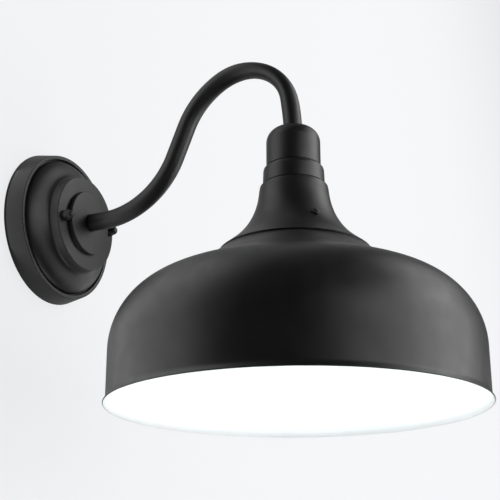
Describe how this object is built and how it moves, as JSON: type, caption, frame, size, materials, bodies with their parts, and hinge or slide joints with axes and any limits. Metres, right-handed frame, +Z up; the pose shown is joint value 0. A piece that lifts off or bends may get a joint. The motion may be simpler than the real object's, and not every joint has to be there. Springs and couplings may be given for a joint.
{
  "type": "outdoor wall lantern",
  "caption": "Gooseneck outdoor wall lantern: round stepped canopy, bent tube arm, bell-shaped neck and a wide black dome shade, white inside, with a screw-in bulb.",
  "frame": {"origin": "centre of the canopy, on the wall plane, at the middle of the wall bracket's back face", "axes": "+Z up, +Y into the wall, so the arm and shade reach out along -Y; +X is to the right of someone facing the wall"},
  "size_m": [0.3, 0.3954, 0.3139],
  "materials": {
    "black_paint": "matte powder coat",
    "white_enamel": "satin white enamel inside the shade",
    "zinc_steel": "bright zinc plate",
    "nickel_plate": "satin nickel plate",
    "brass": "bright",
    "copper": "bare copper",
    "green_plate": "green zinc plate",
    "foam_rubber": "closed-cell foam",
    "black_rubber": "matte",
    "nylon": "natural nylon",
    "porcelain": "glazed porcelain",
    "black_insulation": "satin",
    "white_insulation": "satin",
    "orange_plastic": "satin",
    "white_plastic": "satin",
    "frosted_globe": "frosted",
    "white_board": "white solder mask",
    "black_glass": "gloss"
  },
  "bodies": {
    "lantern": {"wall_gasket": "foam_rubber", "wall_bracket": "zinc_steel", "ground_screw": "green_plate", "mounting_stud_left": "zinc_steel", "mounting_stud_right": "zinc_steel", "stud_locknut_left": "zinc_steel", "stud_locknut_right": "zinc_steel", "canopy": "black_paint", "arm_flange": "black_paint", "ground_terminal": "copper", "arm_lock_washer": "zinc_steel", "arm_locknut": "zinc_steel", "arm_bushing_wall": "nylon", "gooseneck_arm": "black_paint", "arm_bushing_neck": "nylon", "neck_lock_washer": "zinc_steel", "neck_locknut": "zinc_steel", "neck_bell": "black_paint", "shade": "black_paint", "shade_gasket": "black_rubber", "bell_screw_1": "black_paint", "bell_screw_2": "black_paint", "bell_screw_3": "black_paint", "lampholder_strap": "zinc_steel", "strap_screw_1": "zinc_steel", "strap_screw_2": "zinc_steel", "lampholder_body": "porcelain", "lampholder_shell": "nickel_plate", "lampholder_contact": "brass", "terminal_screw_live": "brass", "terminal_screw_neutral": "nickel_plate", "live_lead": "black_insulation", "neutral_lead": "white_insulation", "ground_lead": "copper", "wire_connector_live": "orange_plastic", "wire_connector_neutral": "orange_plastic"},
    "bulb_contact": {"bulb_tip": "nickel_plate"},
    "bulb": {"bulb_insulator": "black_glass", "bulb_base_shell": "nickel_plate", "bulb_housing": "white_plastic", "bulb_led_board": "white_board", "bulb_globe": "frosted_globe"},
    "left_nut_washer": {"cap_washer_left": "black_rubber"},
    "left_cap_nut": {"cap_nut_left": "black_paint"},
    "right_nut_washer": {"cap_washer_right": "black_rubber"},
    "right_cap_nut": {"cap_nut_right": "black_paint"}
  },
  "joints": [
    {"name": "bulb_travel", "type": "slide", "parent": "lantern", "child": "bulb_contact", "axis": [0, 0, -1], "range_m": [0, 0.01814]},
    {"name": "bulb_turn", "type": "hinge", "parent": "bulb_contact", "child": "bulb", "pos_m": [0, -0.24538, -0.03], "axis": [0, 0, -1], "range_deg": [0, 1800]},
    {"name": "left_cap_nut_travel", "type": "slide", "parent": "lantern", "child": "left_nut_washer", "axis": [0, -1, 0], "range_m": [0, 0.00635]},
    {"name": "left_cap_nut_turn", "type": "hinge", "parent": "left_nut_washer", "child": "left_cap_nut", "pos_m": [-0.0347, -0.04, -0.00395], "axis": [0, -1, 0], "range_deg": [0, 2880]},
    {"name": "right_cap_nut_travel", "type": "slide", "parent": "lantern", "child": "right_nut_washer", "axis": [0, -1, 0], "range_m": [0, 0.00635]},
    {"name": "right_cap_nut_turn", "type": "hinge", "parent": "right_nut_washer", "child": "right_cap_nut", "pos_m": [0.0347, -0.04, 0.00395], "axis": [0, -1, 0], "range_deg": [0, 2880]}
  ],
  "couplings": [
    {"joint": "bulb_turn", "follows": "bulb_travel", "rad_per_m": 1731.6},
    {"joint": "left_cap_nut_turn", "follows": "left_cap_nut_travel", "rad_per_m": 7915.8},
    {"joint": "right_cap_nut_turn", "follows": "right_cap_nut_travel", "rad_per_m": 7915.8}
  ]
}
